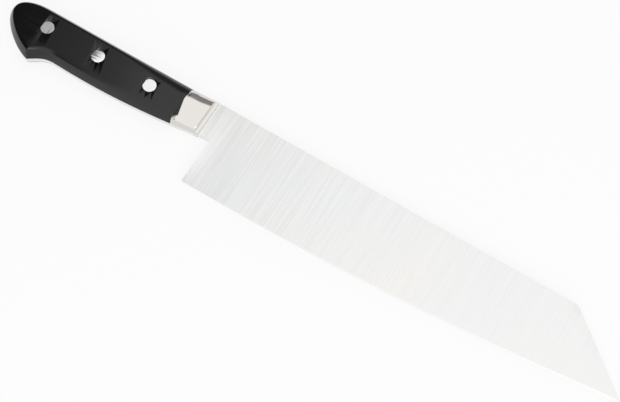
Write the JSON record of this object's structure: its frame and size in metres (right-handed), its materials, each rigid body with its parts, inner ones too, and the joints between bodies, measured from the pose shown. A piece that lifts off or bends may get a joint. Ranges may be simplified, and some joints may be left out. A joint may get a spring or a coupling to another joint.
{
  "type": "kiritsuke knife",
  "caption": "Kitchen knife with a long blade and slanted kiritsuke tip, full tang, hollow-fronted bolster and black handle scales held by flush rivets.",
  "frame": {"origin": "middle of the knife's outline, on the surface that its left side lies on", "axes": "+X from the butt to the tip, +Y from the edge to the spine, +Z out of the right side"},
  "size_m": [0.3708, 0.0463, 0.0148],
  "materials": {
    "blade_steel": "fine satin polish",
    "bolster_steel": "mirror polish",
    "black_scale": "polished black resin",
    "rivet_steel": "ground flush and satin polished"
  },
  "bodies": {
    "root": {"blade": "blade_steel", "bolster_right": "bolster_steel", "bolster_left": "bolster_steel", "scale_right": "black_scale", "scale_left": "black_scale", "rivet_front_pin": "rivet_steel", "rivet_front_tube": "rivet_steel", "rivet_middle_pin": "rivet_steel", "rivet_middle_tube": "rivet_steel", "rivet_rear_pin": "rivet_steel", "rivet_rear_tube": "rivet_steel"}
  },
  "joints": []
}
